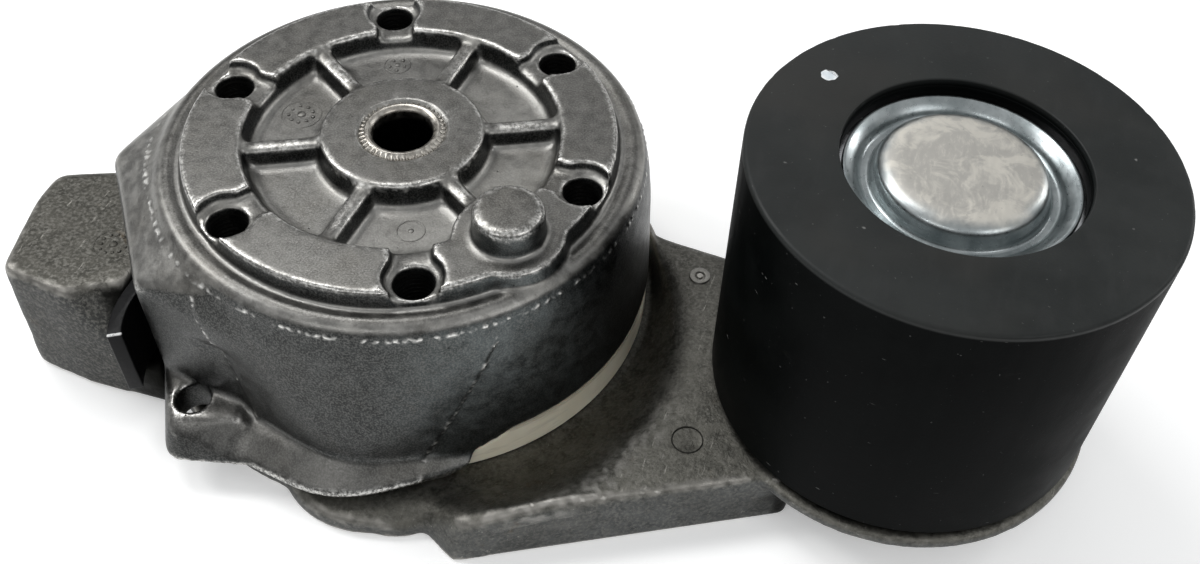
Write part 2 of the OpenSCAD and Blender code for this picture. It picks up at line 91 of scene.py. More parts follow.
class Mat:
    """A Principled material with short calls for the procedural nodes it uses."""

    def __init__(self, name, metallic=0.0, rough=0.5, spec=0.5):
        self.m = bpy.data.materials.new(name)
        self.m.use_nodes = True
        self.nt = self.m.node_tree
        self.b = self.nt.nodes["Principled BSDF"]
        self.b.inputs["Metallic"].default_value = metallic
        self.b.inputs["Roughness"].default_value = rough
        self.b.inputs["Specular IOR Level"].default_value = spec
        self.co = self.nt.nodes.new("ShaderNodeTexCoord").outputs["Object"]

    def node(self, kind, **props):
        n = self.nt.nodes.new(kind)
        for k, v in props.items():
            setattr(n, k, v)
        return n

    def link(self, a, b):
        self.nt.links.new(a, b)

    def put(self, socket, value):
        if isinstance(value, bpy.types.NodeSocket):
            self.link(value, socket)
        else:
            socket.default_value = value

    def mapped(self, scale=(1, 1, 1), rot=(0, 0, 0), loc=(0, 0, 0)):
        n = self.node("ShaderNodeMapping")
        self.link(self.co, n.inputs["Vector"])
        n.inputs["Scale"].default_value = scale
        n.inputs["Rotation"].default_value = rot
        n.inputs["Location"].default_value = loc
        return n.outputs["Vector"]

    def noise(self, size, detail=3.0, rough=0.55, vector=None, distortion=0.0):
        """Noise whose features are about size millimetres across."""
        n = self.node("ShaderNodeTexNoise")
        self.link(vector or self.co, n.inputs["Vector"])
        n.inputs["Scale"].default_value = 1.0 / (size * MM)
        n.inputs["Detail"].default_value = detail
        n.inputs["Roughness"].default_value = rough
        n.inputs["Distortion"].default_value = distortion
        return n.outputs["Fac"]

    def voronoi(self, size, vector=None, feature="F1"):
        n = self.node("ShaderNodeTexVoronoi", feature=feature)
        self.link(vector or self.co, n.inputs["Vector"])
        n.inputs["Scale"].default_value = 1.0 / (size * MM)
        return n.outputs["Distance"]

    def rings(self, size, vector, distortion):
        """Rings round the vector's origin, about size millimetres apart."""
        n = self.node("ShaderNodeTexWave", wave_type="RINGS", rings_direction="SPHERICAL")
        self.link(vector, n.inputs["Vector"])
        n.inputs["Scale"].default_value = 1.0 / (size * MM * 3.2)
        n.inputs["Distortion"].default_value = distortion
        n.inputs["Detail"].default_value = 2.0
        return n.outputs["Fac"]

    def attr(self, name):
        return self.node("ShaderNodeAttribute", attribute_name=name).outputs["Fac"]

    def math(self, op, a, b=0.0, c=0.0):
        n = self.node("ShaderNodeMath", operation=op)
        for i, v in enumerate((a, b, c)):
            self.put(n.inputs[i], v)
        return n.outputs[0]

    def ramp(self, fac, lo, hi, out_lo=0.0, out_hi=1.0, smooth=True):
        n = self.node("ShaderNodeMapRange")
        n.interpolation_type = "SMOOTHSTEP" if smooth else "LINEAR"
        self.put(n.inputs["Value"], fac)
        for key, v in zip(("From Min", "From Max", "To Min", "To Max"), (lo, hi, out_lo, out_hi)):
            n.inputs[key].default_value = v
        return n.outputs["Result"]

    def mix(self, fac, a, b, blend="MIX"):
        n = self.node("ShaderNodeMix", data_type="RGBA", blend_type=blend)
        self.put(n.inputs["Factor"], fac)
        for key, v in ((6, a), (7, b)):
            if isinstance(v, bpy.types.NodeSocket):
                self.link(v, n.inputs[key])
            else:
                n.inputs[key].default_value = (*v[:3], 1.0) if len(v) < 4 else v
        return n.outputs[2]

    def bump(self, height, distance, strength=1.0):
        n = self.node("ShaderNodeBump")
        self.put(n.inputs["Height"], height)
        n.inputs["Distance"].default_value = distance * MM
        n.inputs["Strength"].default_value = strength
        return n.outputs["Normal"]

    def axis(self, which):
        """One coordinate of the point, in millimetres."""
        n = self.node("ShaderNodeSeparateXYZ")
        self.link(self.co, n.inputs[0])
        return self.math("DIVIDE", n.outputs[which], MM)

    def radius(self, cx=0.0, cy=0.0):
        """Distance from an upright axis, in millimetres."""
        n = self.node("ShaderNodeVectorMath", operation="LENGTH")
        v = self.mapped(scale=(1, 1, 0), loc=(-cx * MM, -cy * MM, 0))
        self.link(v, n.inputs[0])
        return self.math("DIVIDE", n.outputs["Value"], MM)

    def done(self, color=None, rough=None, normal=None):
        for key, v in (("Base Color", color), ("Roughness", rough), ("Normal", normal)):
            if v is not None:
                self.put(self.b.inputs[key], v)
        return self.m


# ------------------------------------------------------------------ materials


def cast_case_material():
    m = Mat("cast_case", metallic=1.0)
    up, edge, flash_and_highlight = m.attr("up"), m.attr("edge"), m.attr("flash_and_highlight")
    cloud = m.noise(22, 4, 0.6)
    mottle = m.noise(3.2, 5, 0.62)
    grain = m.noise(0.42, 3, 0.6)
    # painted light and shade by facing: upright walls get a dark colour and faces that look up a
    # light one
    shade_by_facing = m.ramp(up, 0.35, 0.93)
    shaded_wall = m.mix(m.ramp(mottle, 0.3, 0.72), (0.024, 0.0255, 0.0255), (0.050, 0.0525, 0.052))
    # painted light: the wall is lighter at the right of the front
    right = m.ramp(m.axis(X), 12.0, 38.0)
    shade = m.ramp(m.axis(Y), -34.0, -8.0, 1.0, 0.0)
    shaded_wall = m.mix(m.math("MULTIPLY", right, shade), shaded_wall, (2.1, 2.25, 2.3), "MULTIPLY")
    flat = m.mix(m.ramp(mottle, 0.3, 0.72), (0.082, 0.080, 0.075), (0.132, 0.129, 0.121))
    lit_slope = m.mix(m.ramp(mottle, 0.3, 0.72), (0.175, 0.172, 0.162), (0.300, 0.295, 0.278))
    color = m.mix(shade_by_facing, shaded_wall, flat)
    # painted highlight: banks between the wall and the top face are the lightest, less so lower
    # down
    bank_highlight = m.math("MULTIPLY", m.ramp(up, 0.42, 0.66), m.ramp(up, 0.972, 0.90))
    bank_highlight = m.math("MULTIPLY", bank_highlight, m.ramp(m.axis(Z), -38.0, -14.0, 0.12, 1.0))
    color = m.mix(bank_highlight, color, lit_slope)
    # the sunk pockets are lighter, and painted light makes their right side lighter still
    pocket = m.ramp(m.axis(Z), -6.6, -5.2, 1.0, 0.0)
    pocket = m.math("MULTIPLY", pocket, m.ramp(m.radius(), 37.5, 36.0))
    color = m.mix(m.math("MULTIPLY", pocket, 0.5), color, (0.200, 0.197, 0.186))
    east_light = m.math("MULTIPLY", pocket, m.ramp(m.axis(X), -8.0, 26.0))
    color = m.mix(east_light, color, (1.8, 1.8, 1.78), "MULTIPLY")
    color = m.mix(m.ramp(cloud, 0.42, 0.7, 0.0, 0.5), color, (0.72, 0.69, 0.64), "MULTIPLY")
    # veins, grain, pits, and bright chips along the edges
    veins = m.noise(7, 6, 0.7, distortion=1.2)
    color = m.mix(m.ramp(veins, 0.56, 0.66, 0.0, 0.35), color, (0.060, 0.057, 0.052))
    color = m.mix(m.ramp(grain, 0.40, 0.66, 0.0, 0.20), color, (0.36, 0.355, 0.34))
    pits = m.ramp(m.voronoi(2.1), 0.02, 0.16, 1.0, 0.0)
    rare = m.math("MULTIPLY", pits, m.ramp(m.noise(5.5, 2), 0.56, 0.64))
    color = m.mix(m.math("MULTIPLY", rare, 0.7), color, (0.02, 0.02, 0.02))
    chip = m.math("MULTIPLY", m.ramp(edge, 0.16, 0.40), m.ramp(m.noise(0.8, 4, 0.7), 0.44, 0.56))
    color = m.mix(m.ramp(edge, 0.12, 0.40, 0.0, 0.28), color, (0.42, 0.41, 0.39))
    color = m.mix(m.math("MULTIPLY", chip, 0.7), color, (0.74, 0.73, 0.70))
    # painted highlight: concave fillets are lighter
    color = m.mix(m.ramp(edge, -0.10, -0.50, 0.0, 0.55), color, (0.34, 0.335, 0.32))
    color = m.mix(flash_and_highlight, color, (0.80, 0.79, 0.76))
    rough = m.ramp(mottle, 0.3, 0.7, 0.34, 0.46)
    rough = m.math("SUBTRACT", rough, m.ramp(edge, 0.10, 0.5, 0.0, 0.10))
    h = m.math("ADD", m.math("MULTIPLY", mottle, 0.5), m.math("MULTIPLY", grain, 0.26))
    h = m.math("SUBTRACT", h, m.math("MULTIPLY", rare, 0.6))
    return m.done(color, rough, m.bump(h, 0.26, 0.5))


def cast_arm_material():
    m = Mat("cast_arm", metallic=1.0)
    up, edge, flash_and_highlight, painted_shade = m.attr("up"), m.attr("edge"), m.attr("flash_and_highlight"), m.attr("painted_shade")
    cloud = m.noise(30, 4, 0.6)
    mottle = m.noise(3.4, 6, 0.68, distortion=0.5)
    fine = m.noise(0.8, 4, 0.65)
    skin = m.voronoi(1.7, feature="SMOOTH_F1")
    # painted light and shade by facing, as on the case: upright walls dark, faces that look up
    # light
    shade_by_facing = m.ramp(up, 0.1, 0.75)
    shaded_wall = m.mix(m.ramp(mottle, 0.3, 0.7), (0.036, 0.038, 0.039), (0.084, 0.087, 0.087))
    flat = m.mix(m.ramp(mottle, 0.3, 0.7), (0.052, 0.051, 0.045), (0.130, 0.126, 0.112))
    color = m.mix(shade_by_facing, shaded_wall, flat)
    # painted light: the beam's front is lighter; the tail is darker
    near = m.ramp(m.axis(Y), 22.0, -42.0, 0.0, 0.7)
    near = m.math("MULTIPLY", near, m.ramp(m.axis(X), -20.0, 30.0))
    far = m.ramp(m.axis(X), -40.0, -56.0, 0.0, 0.5)
    color = m.mix(far, color, (0.42, 0.41, 0.385), "MULTIPLY")
    color = m.mix(near, color, (1.75, 1.75, 1.72), "MULTIPLY")
    color = m.mix(m.ramp(fine, 0.42, 0.66, 0.0, 0.42), color, (0.25, 0.243, 0.222))
    color = m.mix(m.ramp(m.noise(2.0, 6, 0.8), 0.50, 0.66, 0.0, 0.35), color, (0.028, 0.027, 0.024))
    stain = m.ramp(m.noise(9, 3, 0.6), 0.66, 0.76, 0.0, 0.55)
    color = m.mix(stain, color, (0.095, 0.062, 0.032))
    scuff = m.ramp(m.noise(1.3, 5, 0.75, vector=m.mapped((1, 0.18, 1), (0, 0, 0.7))), 0.60, 0.68)
    scuff = m.math("MULTIPLY", scuff, m.ramp(m.noise(9, 3), 0.46, 0.60))
    color = m.mix(m.math("MULTIPLY", scuff, 0.7), color, (0.42, 0.405, 0.37))
    color = m.mix(m.ramp(cloud, 0.40, 0.66, 0.0, 0.35), color, (0.040, 0.039, 0.034))
    color = m.mix(m.ramp(edge, 0.14, 0.42, 0.0, 0.72), color, (0.42, 0.405, 0.375))
    # painted shade: concave creases are darker
    color = m.mix(m.ramp(edge, -0.10, -0.5, 0.0, 0.5), color, (0.020, 0.019, 0.017))
    # painted shade: the groove round the case, behind the spring's end, under the pulley and in the
    # ejector's ring
    color = m.mix(painted_shade, color, (0.010, 0.010, 0.009))
    color = m.mix(flash_and_highlight, color, (0.66, 0.64, 0.60))
    rough = m.ramp(mottle, 0.3, 0.7, 0.44, 0.60)
    rough = m.math("SUBTRACT", rough, m.ramp(edge, 0.10, 0.5, 0.0, 0.12))
    h = m.math("ADD", m.math("MULTIPLY", mottle, 0.8), m.math("MULTIPLY", fine, 0.38))
    h = m.math("ADD", h, m.math("MULTIPLY", skin, 0.25))
    return m.done(color, rough, m.bump(h, 0.36, 0.7))


def steel_material(name, base, rough=0.3, streak=0.4):
    """Turned or drawn steel with fine streaks round the upright axis."""
    m = Mat(name, metallic=1.0)
    lines = m.noise(0.5, 3, 0.6, vector=m.mapped((0.15, 0.15, 2.2)))
    blot = m.noise(4, 3)
    color = m.mix(m.ramp(lines, 0.3, 0.7, 0.0, streak), base, tuple(c * 0.45 for c in base))
    color = m.mix(m.ramp(blot, 0.55, 0.75, 0.0, 0.35), color, tuple(c * 0.6 for c in base))
    r = m.ramp(blot, 0.3, 0.7, rough - 0.06, rough + 0.10)
    return m.done(color, r, m.bump(lines, 0.05, 0.35))


def tube_material():
    m = Mat("plated_steel", metallic=1.0)
    z = m.axis(Z)
    blot = m.noise(1.6, 4)
    color = m.mix(m.ramp(blot, 0.35, 0.7), (0.30, 0.28, 0.25), (0.46, 0.44, 0.40))
    # painted shade: the bore darkens from just below its top downwards
    painted_shade = m.ramp(z, -3.5, -0.6, 1.0, 0.0)
    inner = m.math("MULTIPLY", painted_shade, m.ramp(m.radius(), 7.1, 7.4, 1.0, 0.0))
    color = m.mix(inner, color, (0.012, 0.012, 0.012))
    lines = m.noise(0.3, 2, 0.6, vector=m.mapped((0.1, 0.1, 3.0)))
    return m.done(color, m.ramp(blot, 0.3, 0.7, 0.26, 0.42), m.bump(lines, 0.04, 0.4))


def spring_material():
    m = Mat("coated_spring", metallic=0.0, rough=0.3, spec=0.12)
    z = m.axis(Z)
    orange = m.noise(0.9, 3, 0.5)
    patch = m.noise(1.5, 4, 0.65)
    top = m.ramp(z, -25.9, -25.55)
    # distance along the strip's outer end, which points 30 degrees off the -y axis
    along_x, along_y = m.math("MULTIPLY", m.axis(X), 0.5), m.math("MULTIPLY", m.axis(Y), 0.866)
    along = m.math("SUBTRACT", along_x, along_y)
    tip = m.ramp(along, SPRING_END - 0.75, SPRING_END - 0.45)
    chip = m.math("MULTIPLY", m.math("MULTIPLY", top, tip), m.ramp(patch, 0.38, 0.46))
    dust = m.ramp(m.noise(0.7, 4, 0.7), 0.62, 0.74, 0.0, 0.35)
    color = m.mix(dust, (0.0030, 0.0030, 0.0034), (0.022, 0.022, 0.022))
    color = m.mix(chip, color, (0.75, 0.75, 0.74))
    return m.done(color, m.ramp(orange, 0.3, 0.7, 0.30, 0.44), m.bump(orange, 0.12, 0.35))


def nylon_material():
    m = Mat("nylon_ring", rough=0.55, spec=0.35)
    z = m.axis(Z)
    blot = m.noise(12, 3, 0.5)
    streak = m.noise(2.4, 4, 0.6, vector=m.mapped((0.3, 0.3, 2.0)))
    color = m.mix(m.ramp(blot, 0.3, 0.7), (0.93, 0.87, 0.71), (0.80, 0.74, 0.58))
    color = m.mix(m.ramp(streak, 0.50, 0.72, 0.0, 0.3), color, (0.46, 0.41, 0.32))
    color = m.mix(m.ramp(z, -45.9, -44.9, 0.0, 0.35), color, (0.20, 0.165, 0.11))
    m.b.inputs["Subsurface Weight"].default_value = 0.12
    m.b.inputs["Subsurface Scale"].default_value = 0.002
    return m.done(color, m.ramp(blot, 0.3, 0.7, 0.5, 0.62), m.bump(streak, 0.05, 0.3))


def pulley_material():
    m = Mat("pulley_black", rough=0.42, spec=0.28)
    z = m.axis(Z)
    r = m.radius(PULLEY_X)
    face = m.math("MULTIPLY", m.ramp(z, 25.6, 26.6), m.ramp(r, 25.2, 25.8))
    cloud = m.noise(16, 5, 0.6)
    grain = m.noise(0.6, 3, 0.6)
    smear = m.noise(3.5, 4, 0.6, vector=m.mapped((1.0, 0.3, 1.0), (0, 0, 0.5)))
    # painted shade: the upright side is much darker than the face
    side = m.mix(m.ramp(cloud, 0.35, 0.7), (0.0012, 0.0016, 0.0016), (0.0030, 0.0036, 0.0035))
    top = m.mix(m.ramp(cloud, 0.32, 0.7), (0.0105, 0.0122, 0.0118), (0.0170, 0.0190, 0.0184))
    top = m.mix(m.ramp(smear, 0.5, 0.75, 0.0, 0.28), top, (0.026, 0.027, 0.027))
    top = m.mix(m.ramp(m.noise(42, 2), 0.55, 0.7, 0.0, 0.35), top, (0.024, 0.022, 0.019))
    color = m.mix(face, side, top)
    speck = m.ramp(m.noise(0.9, 2, 0.5), 0.735, 0.765, 0.0, 0.55)
    color = m.mix(speck, color, (0.10, 0.10, 0.098))
    scratch = m.noise(2.6, 5, 0.8, vector=m.mapped((1, 0.05, 1), (0, 0, 1.1)))
    scratch = m.math("MULTIPLY", m.ramp(scratch, 0.70, 0.74), m.ramp(m.noise(7, 1), 0.5, 0.6))
    color = m.mix(m.math("MULTIPLY", scratch, 0.5), color, (0.12, 0.12, 0.12))
    rub = m.noise(5.0, 5, 0.75, vector=m.mapped((1, 1, 3.5)))
    rub = m.math("MULTIPLY", m.ramp(rub, 0.58, 0.72), m.math("SUBTRACT", 1.0, face))
    color = m.mix(m.math("MULTIPLY", rub, 0.35), color, (0.009, 0.0095, 0.009))
    nick = m.noise(1.6, 2, 0.5, vector=m.mapped((0.35, 0.35, 2.6)))
    nick = m.math("MULTIPLY", m.ramp(nick, 0.765, 0.79), 0.8)
    color = m.mix(nick, color, (0.16, 0.16, 0.155))
    rough = m.ramp(cloud, 0.3, 0.7, 0.42, 0.54)
    m.put(m.b.inputs["Specular IOR Level"], m.ramp(face, 0.0, 1.0, 0.022, 0.21))
    h = m.math("ADD", m.math("MULTIPLY", grain, 0.5), m.math("MULTIPLY", cloud, 0.5))
    return m.done(color, rough, m.bump(h, 0.10, 0.5))


def cap_material():
    m = Mat("zinc_cap", metallic=1.0)
    r = m.radius(PULLEY_X)
    warp = m.math("ADD", r, m.ramp(m.noise(5, 3), 0.2, 0.8, -0.7, 0.7))
    dome = m.ramp(warp, 14.2, 17.6, 1.0, 0.0)
    blot = m.noise(7, 5, 0.62, distortion=0.6)
    brush = m.noise(0.8, 4, 0.75, vector=m.mapped((1.0, 0.35, 1.0), (0, 0, 0.9)))
    worn = m.mix(m.ramp(blot, 0.42, 0.56), (0.66, 0.635, 0.575), (0.50, 0.485, 0.45))
    worn = m.mix(m.ramp(brush, 0.48, 0.72, 0.0, 0.4), worn, (0.74, 0.71, 0.64))
    worn = m.mix(m.ramp(m.noise(1.3, 3), 0.66, 0.74, 0.0, 0.3), worn, (0.22, 0.22, 0.21))
    bright = m.mix(m.ramp(m.noise(6, 3), 0.3, 0.7), (0.25, 0.28, 0.285), (0.40, 0.43, 0.435))
    color = m.mix(dome, bright, worn)
    centred = m.mapped((1, 1, 0), loc=(-PULLEY_X * MM, 0, 0))
    rings = m.rings(0.5, centred, 0.6)
    rough = m.mix(dome, (0.31, 0.31, 0.31), (0.46, 0.46, 0.46))
    rough = m.math("ADD", rough, m.ramp(brush, 0.3, 0.7, -0.05, 0.07))
    h = m.math("ADD", m.math("MULTIPLY", brush, 0.5), m.math("MULTIPLY", rings, 0.05))
    return m.done(color, rough, m.bump(h, 0.04, 0.4))


def paint_material():
    m = Mat("marking_paint", rough=0.5)
    blot = m.noise(1.1, 4, 0.6)
    mid = m.ramp(m.radius(*PAINT_POS), 0.6, 1.8, 0.45, 0.0)
    color = m.mix(m.ramp(blot, 0.3, 0.7), (0.62, 0.65, 0.67), (0.80, 0.81, 0.81))
    color = m.mix(mid, color, (0.42, 0.50, 0.56))
    return m.done(color, m.ramp(blot, 0.3, 0.7, 0.4, 0.6), m.bump(blot, 0.08, 0.5))


def floor_material():
    m = Mat("pale_floor", rough=0.85, spec=0.1)
    n = m.noise(400, 2)
    m.b.inputs["Emission Color"].default_value = (1, 1, 1, 1)
    m.b.inputs["Emission Strength"].default_value = 0.26
    return m.done(m.mix(m.ramp(n, 0.3, 0.7), (0.92, 0.92, 0.915), (0.94, 0.94, 0.935)))


# ------------------------------------------------------------------ mesh helpers


def add_object(name, mesh):
    ob = bpy.data.objects.new(name, mesh)
    SCENE.collection.objects.link(ob)
    return ob


def finish_piece(ob, body, material, replaces=()):
    ob.data.materials.clear()
    ob.data.materials.append(material)
    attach(ob, body)
    if replaces:
        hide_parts(*replaces)
    return ob


def through_modifier(ob, kind, **settings):
    mod = ob.modifiers.new(kind, kind)
    for k, v in settings.items():
        setattr(mod, k, v)
    dg = bpy.context.evaluated_depsgraph_get()
    mesh = bpy.data.meshes.new_from_object(ob.evaluated_get(dg))
    ob.modifiers.clear()
    ob.data = mesh


def coordinates(mesh):
    co = np.empty(len(mesh.vertices) * 3, np.float64)
    mesh.vertices.foreach_get("co", co)
    return co.reshape(-1, 3) / MM


def set_coordinates(mesh, co):
    mesh.vertices.foreach_set("co", (co * MM).ravel())
    mesh.update()


def edge_pairs(mesh):
    e = np.empty(len(mesh.edges) * 2, np.int64)
    mesh.edges.foreach_get("vertices", e)
    return e.reshape(-1, 2)


def normals(mesh):
    n = np.empty(len(mesh.vertices) * 3, np.float32)
    mesh.vertex_normals.foreach_get("vector", n)
    return n.reshape(-1, 3).astype(float)


def relax(co, pairs, weight, times, step=0.5):
    """Moves each point towards the mean of its neighbours, by its own weight."""
    count = len(co)
    a, b = pairs[:, 0], pairs[:, 1]
    degree = np.maximum(np.bincount(a, minlength=count) + np.bincount(b, minlength=count), 1)
    weight = (weight * step)[:, None] if co.ndim == 2 else weight * step
    for _ in range(times):
        if co.ndim == 2:
            mean = np.stack(
                [
                    np.bincount(a, co[b, k], count) + np.bincount(b, co[a, k], count)
                    for k in range(co.shape[1])
                ],
                1,
            )
            mean /= degree[:, None]
        else:
            mean = (np.bincount(a, co[b], count) + np.bincount(b, co[a], count)) / degree
        co = co + (mean - co) * weight
    return co


def smoothstep(x, lo, hi):
    t = np.clip((x - lo) / (hi - lo), 0, 1)
    return t * t * (3 - 2 * t)


def across(co, centre):
    """Distance of each point from an upright axis."""
    return np.hypot(co[:, 0] - centre[0], co[:, 1] - centre[1])


def wave_noise(co, size, seed=1.0):
    """A cheap smooth variation from crossed sines, for whole meshes."""
    x, y, z = (co / size).T
    return (
        np.sin(x * 1.7 + seed + 1.3 * np.sin(y * 1.1 + z))
        + np.sin(y * 1.9 - seed + 1.1 * np.sin(z * 1.3 + x * 0.7))
        + np.sin(z * 2.1 + seed * 2 + 1.2 * np.sin(x * 0.9 + y))
    ) / 3


def set_attribute(mesh, name, values):
    layer = mesh.attributes.new(name, "FLOAT", "POINT")
    layer.data.foreach_set("value", values.astype(np.float32))


def recast(name, node, voxel, times, mask, extra, painted_shade=None):
    """Copies a CAD node and gives it the soft edges and skin of a die casting."""
    ob = add_object(name, NODES[node].data.copy())
    step = voxel * 1.0
    through_modifier(ob, "REMESH", mode="VOXEL", voxel_size=step * MM)
    mesh = ob.data
    co, pairs = coordinates(mesh), edge_pairs(mesh)
    rounds = max(2, int(times * (voxel / step) ** 2))
    co = relax(co, pairs, mask(co), rounds)
    co, flash_and_highlight = extra(co, pairs, voxel / step)
    set_coordinates(mesh, co)
    n = normals(mesh)
    far = relax(co, pairs, np.ones(len(co)), max(4, int(26 * (voxel / step) ** 2)))
    edge = np.einsum("ij,ij->i", co - far, n)
    edge = relax(edge, pairs, np.ones(len(co)), 2)
    edge += 0.07 * wave_noise(co, 0.9) * (edge > 0.05)
    # painted shade: the edge colour is weaker under the pulley
    edge *= 1 - 0.45 * (across(co, PULLEY) < 48)
    up = relax(n[:, 2], pairs, np.ones(len(co)), 2)
    set_attribute(mesh, "edge", edge)
    set_attribute(mesh, "up", up)
    set_attribute(mesh, "flash_and_highlight", flash_and_highlight)
    # painted shade, where a mask for it is given
    if painted_shade:
        set_attribute(mesh, "painted_shade", painted_shade(co))
    triangles = 2 * len(mesh.polygons)
    if triangles > MOST_TRIANGLES:
        through_modifier(ob, "DECIMATE", ratio=MOST_TRIANGLES / triangles)
    for p in ob.data.polygons:
        p.use_smooth = True
    return ob


def soften(corners, radii, steps=5):
    """A closed outline with each corner rounded by its own radius."""
    out = []
    count = len(corners)
    for i in range(count):
        p0, p1, p2 = (np.array(corners[(i + k) % count], float) for k in (-1, 0, 1))
        r = radii[i] if isinstance(radii, (list, tuple)) else radii
        u, v = p0 - p1, p2 - p1
        lu, lv = np.linalg.norm(u), np.linalg.norm(v)
        r = min(r, lu * 0.48, lv * 0.48)
        if r < 0.02:
            out.append(tuple(p1))
            continue
        a, b = p1 + u / lu * r, p1 + v / lv * r
        for t in np.linspace(0, 1, steps + 1):
            out.append(tuple((1 - t) ** 2 * a + 2 * t * (1 - t) * p1 + t * t * b))
    return out


def lathe(name, outline, centre=(0.0, 0.0), steps=192, shape=None):
    """Turns a closed outline of (radius, height) round an upright axis."""
    pts = np.array(outline)
    angles = np.linspace(0, 2 * math.pi, steps, endpoint=False)
    verts = []
    for a in angles:
        r, z = pts[:, 0].copy(), pts[:, 1].copy()
        if shape:
            r, z = shape(a, r, z)
        verts.append(np.c_[centre[0] + r * np.cos(a), centre[1] + r * np.sin(a), z])
    verts = np.concatenate(verts) * MM
    k = len(pts)
    faces = []
    for i in range(steps):
        j = (i + 1) % steps
        for q in range(k):
            w = (q + 1) % k
            faces.append((i * k + q, j * k + q, j * k + w, i * k + w))
    mesh = bpy.data.meshes.new(name)
    mesh.from_pydata(verts.tolist(), [], faces)
    bm = bmesh.new()
    bm.from_mesh(mesh)
    bmesh.ops.remove_doubles(bm, verts=bm.verts, dist=1e-7)
    bmesh.ops.recalc_face_normals(bm, faces=bm.faces)
    for f in bm.faces:
        f.smooth = True
    bm.to_mesh(mesh)
    bm.free()
    return add_object(name, mesh)


# ------------------------------------------------------------------ case


def hole_points():
    for i in range(6):
        a = math.radians(HOLE_ANGLE + 60 * i)
        yield HOLE_PCR * math.cos(a), HOLE_PCR * math.sin(a)


def case_mask(co):
    """How much each point of the case is softened: little at drilled holes and machined faces."""
    w = np.ones(len(co))
    top = co[:, 2] > -4.2
    for place in hole_points():
        w[top & (across(co, place) < HOLE_R + 1.3)] = 0.12
    r = np.hypot(co[:, 0], co[:, 1])
    w[(r < 11.5) & (co[:, 2] > -3)] = 0.15
    w[(co[:, 2] > -0.8) & (r < 50.5)] *= 0.45
    w[(across(co, LUG_HOLE) < 5.2) & (co[:, 2] > -46)] = 0.15
    return w


def seam_line(co, az, a0, z0, a1, z1):
    """Distance along the drum, in millimetres, from a slanted line drawn on its wall."""
    t = np.clip((co[:, 2] - z0) / (z1 - z0), 0, 1)
    at = a0 + (a1 - a0) * t
    inside = (co[:, 2] < z0) & (co[:, 2] > z1)
    return np.radians(az - at) * DRUM_R, inside


def case_extra(co, _pairs, _share):
    """A proud front field, flash along the seams and edges, and slightly wavy walls."""
    r = np.hypot(co[:, 0], co[:, 1])
    az = np.degrees(np.arctan2(co[:, 1], co[:, 0]))
    radial = np.c_[co[:, 0], co[:, 1], np.zeros(len(co))] / np.maximum(r, 1)[:, None]
    flash_and_highlight = np.zeros(len(co))
    crumbs = smoothstep(wave_noise(co, 0.55, 2.0) + 0.6 * wave_noise(co, 2.6, 5.0), 0.05, 0.55)
    # the front field between the two slanted seams stands a little proud
    drum = (r > 56) & (co[:, 2] < -8) & (co[:, 2] > -51)
    right, in_r = seam_line(co, az, *SEAM_RIGHT)
    left, in_l = seam_line(co, az, *SEAM_LEFT)
    field = smoothstep(-right, -0.6, 0.9) * smoothstep(left, -0.6, 0.9)
    field *= smoothstep(-co[:, 2], 9, 14) * drum
    belly = smoothstep(-right, -0.6, 18) * smoothstep(left, 3, 22) * smoothstep(-co[:, 2], 12, 44)
    co = co + radial * (0.4 * field + 2.4 * belly * drum)[:, None]
    # chipped flash along the seams, the shoulder and the edges of the mounting ring
    for d, inside in ((right, in_r), (left, in_l)):
        near = np.exp(-((d / 0.42) ** 2)) * inside * drum * crumbs
        co = co + radial * (0.35 * near)[:, None]
        flash_and_highlight = np.maximum(flash_and_highlight, near)
    side = (az > -175) & (az < 60)
    near = np.exp(-(((co[:, 2] - SHOULDER_Z) / 0.45) ** 2)) * (r > 56) * (r < 59.5) * crumbs * side
    co = co + radial * (0.30 * near)[:, None]
    flash_and_highlight = np.maximum(flash_and_highlight, near)
    for ring, zone in (
        (RING_OUTSIDE, (az > 60) | (az < -150)),
        (RING_INSIDE, az > 100),
        (HUB_OUTSIDE, az < 120),
    ):
        near = np.exp(-(((r - ring) / 0.35) ** 2)) * (co[:, 2] > -1.6) * crumbs * zone
        co[:, 2] += 0.10 * near
        flash_and_highlight = np.maximum(flash_and_highlight, 0.8 * near)
    # slow waviness of the cast walls
    wavy = (r > 52) | (co[:, 2] < -2)
    co = co + radial * (0.05 * wave_noise(co, 9.0) * wavy)[:, None]
    return co, np.clip(flash_and_highlight, 0, 1)


def arm_painted_shade(co):
    """Painted shade in the groove round the case, behind the spring's end and under the pulley."""
    r = np.hypot(co[:, 0], co[:, 1] + 3.7)
    az = np.degrees(np.arctan2(co[:, 1], co[:, 0]))
    groove = (1 - smoothstep(r, 60.0, 80.0)) * (co[:, 2] > -56)
    groove *= 0.22 * smoothstep(az, -60, -15) * (co[:, 0] > 0)
    behind = smoothstep(co[:, 0], -65.5, -62.5) * (r < 72) * smoothstep(-co[:, 2], 25.5, 27.5)
    behind *= 1 - smoothstep(co[:, 0], -46, -38)
    behind *= smoothstep(co[:, 1], -62, -56) * (1 - smoothstep(co[:, 1], -16, -8))
    under = 1 - smoothstep(across(co, PULLEY), 42.5, 44.6)
    return np.clip(np.maximum(np.maximum(groove, behind), under), 0, 1)


def arm_mask(co):
    """How much each point of the arm is softened: little at its marks and round both axes."""
    w = np.ones(len(co))
    top = co[:, 2] > -45.5
    w[(across(co, EJECTOR) < 5) & top] = 0.2
    w[(across(co, RING_MARK) < 4) & top] = 0.25
    w[np.hypot(co[:, 0], co[:, 1]) < 20] = 0.2
    w[across(co, PULLEY) < 22] = 0.3
    return w


